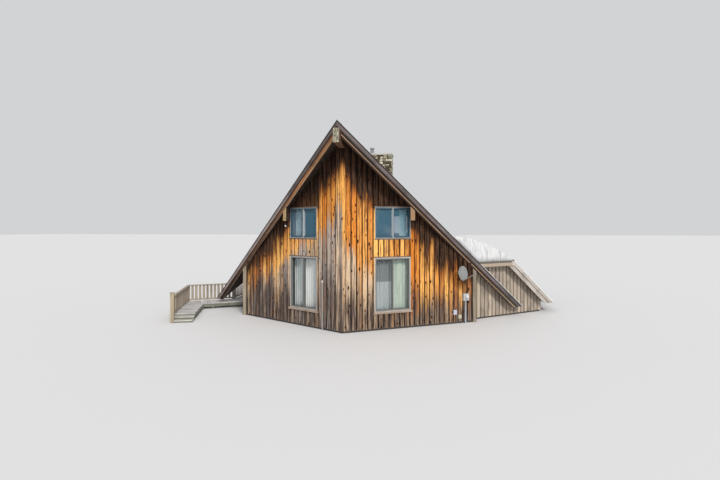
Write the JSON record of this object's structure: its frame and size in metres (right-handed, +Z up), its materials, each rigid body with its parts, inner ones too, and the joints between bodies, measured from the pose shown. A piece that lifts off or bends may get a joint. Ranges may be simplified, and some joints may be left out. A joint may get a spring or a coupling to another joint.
{
  "type": "a-frame cabin",
  "caption": "Prow-fronted a-frame cabin with steep gabled roof, board siding, flat-roofed side wing, stone chimney, and a raised walkway and porch.",
  "frame": {"origin": "foot of the front prow edge on level ground, on the ridge line", "axes": "+Z up, +Y from the prow towards the rear along the ridge, +X to the right seen from the front"},
  "size_m": [17.4127, 13.44, 8.49],
  "materials": {
    "masonry": "rough concrete",
    "floor_boards": "satin",
    "siding": "weathered boards and battens",
    "shingles": "granular asphalt shingle",
    "fascia_boards": "weathered stain",
    "barge_timber": "weathered stain",
    "beam_timber": "bare grey timber",
    "window_frames": "satin paint",
    "glass": "clear",
    "rail_metal": "satin",
    "curtain_cloth": "plain weave",
    "flat_roofing": "membrane",
    "wing_boards": "silvered boards",
    "door_wood": "satin stain",
    "fieldstone": "rough stone in mortar",
    "cap_stone": "cast slab",
    "flue_metal": "dull",
    "deck_wood": "silvered boards",
    "dish_paint": "matte",
    "bracket_metal": "matte",
    "meter_metal": "matte",
    "box_plastic": "matte",
    "pipe_metal": "matte",
    "lamp_metal": "satin",
    "snow": "old granular snow"
  },
  "bodies": {
    "root": {"foundation": "masonry", "ground_floor": "floor_boards", "upper_floor": "floor_boards", "front_wall_left": "siding", "front_wall_right": "siding", "side_wall_left": "siding", "side_wall_right": "siding", "rear_wall": "siding", "roof_left": "shingles", "roof_right": "shingles", "front_fascia": "fascia_boards", "front_barge_rafters": "barge_timber", "rear_fascia": "fascia_boards", "left_eave_board": "fascia_boards", "ridge_beam": "beam_timber", "purlins": "beam_timber", "corner_post_left": "beam_timber", "corner_post_right": "beam_timber", "upper_window_frames": "window_frames", "lower_window_frames": "window_frames", "rear_window_frames": "window_frames", "front_glass": "glass", "rear_glass": "glass", "curtain_rails": "rail_metal", "curtains": "curtain_cloth", "wing_front_wall": "siding", "wing_outer_wall": "siding", "wing_rear_wall": "siding", "wing_flat_roof": "flat_roofing", "wing_slope_roof": "shingles", "wing_floor": "masonry", "wing_front_boards": "wing_boards", "wing_rear_boards": "fascia_boards", "entry_walls": "siding", "entry_roof": "flat_roofing", "entry_door_frame": "window_frames", "entry_door": "door_wood", "chimney": "fieldstone", "chimney_cap": "cap_stone", "flue": "flue_metal", "deck_boards": "deck_wood", "deck_frame": "deck_wood", "steps_front": "deck_wood", "walkway_railing": "deck_wood", "porch_railing": "deck_wood", "dish_reflector": "dish_paint", "dish_mount": "bracket_metal", "meter_box": "meter_metal", "utility_boxes": "box_plastic", "wall_pipe": "pipe_metal", "flood_light": "lamp_metal", "wing_snow": "snow", "door_step": "deck_wood"}
  },
  "joints": []
}
